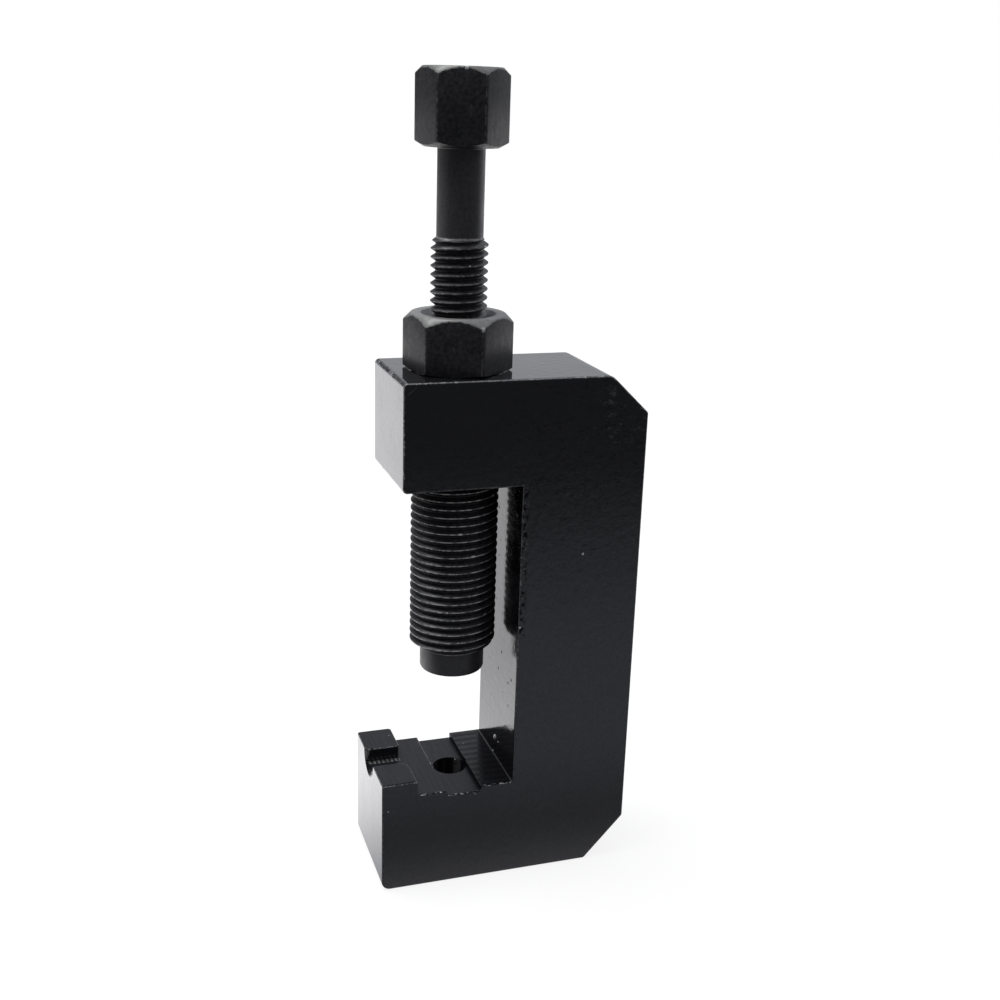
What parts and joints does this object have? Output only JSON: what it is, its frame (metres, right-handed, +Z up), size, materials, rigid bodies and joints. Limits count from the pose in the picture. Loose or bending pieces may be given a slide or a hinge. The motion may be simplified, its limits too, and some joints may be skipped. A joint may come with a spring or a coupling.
{
  "type": "chain breaker",
  "caption": "C-frame chain breaker with a hollow hex-head clamping screw and an inner hex-head push screw that drives a sprung extractor pin into a slotted, stepped chain seat.",
  "frame": {"origin": "centre of the pin hole's mouth in the base plane, on the axis of both screws", "axes": "+Z up the screws from the base, +X from the open side to the spine, +Y across the frame's width"},
  "size_m": [0.0484, 0.022, 0.1474],
  "materials": {
    "gloss_black_paint": "gloss black coating with slight orange peel, worn bright on the front edges",
    "black_oxide_steel": "satin black oxide on turned and milled steel",
    "hardened_pin_steel": "ground, hardened",
    "spring_steel": "drawn wire, lightly oiled"
  },
  "bodies": {
    "frame": {"frame": "gloss_black_paint"},
    "return_spring": {"return_spring": "spring_steel"},
    "main_screw": {"main_screw": "black_oxide_steel"},
    "extractor_pin": {"extractor_pin": "hardened_pin_steel"},
    "push_screw": {"push_screw": "black_oxide_steel"}
  },
  "joints": [
    {"name": "main_screw_travel", "type": "slide", "parent": "frame", "child": "return_spring", "axis": [0, 0, 1], "range_m": [0, 0.03]},
    {"name": "main_screw_turn", "type": "hinge", "parent": "return_spring", "child": "main_screw", "pos_m": [0, 0, 0.0971], "axis": [0, 0, 1], "range_deg": [0, 7201]},
    {"name": "push_travel", "type": "slide", "parent": "main_screw", "child": "extractor_pin", "axis": [0, 0, 1], "range_m": [-0.0275, 0], "deforming": ["return_spring"]},
    {"name": "push_screw_turn", "type": "hinge", "parent": "extractor_pin", "child": "push_screw", "pos_m": [0, 0, 0.135], "axis": [0, 0, 1], "range_deg": [-6601, 0]}
  ],
  "couplings": [
    {"joint": "main_screw_turn", "follows": "main_screw_travel", "rad_per_m": 4188.8},
    {"joint": "push_screw_turn", "follows": "push_travel", "rad_per_m": 4188.8}
  ]
}
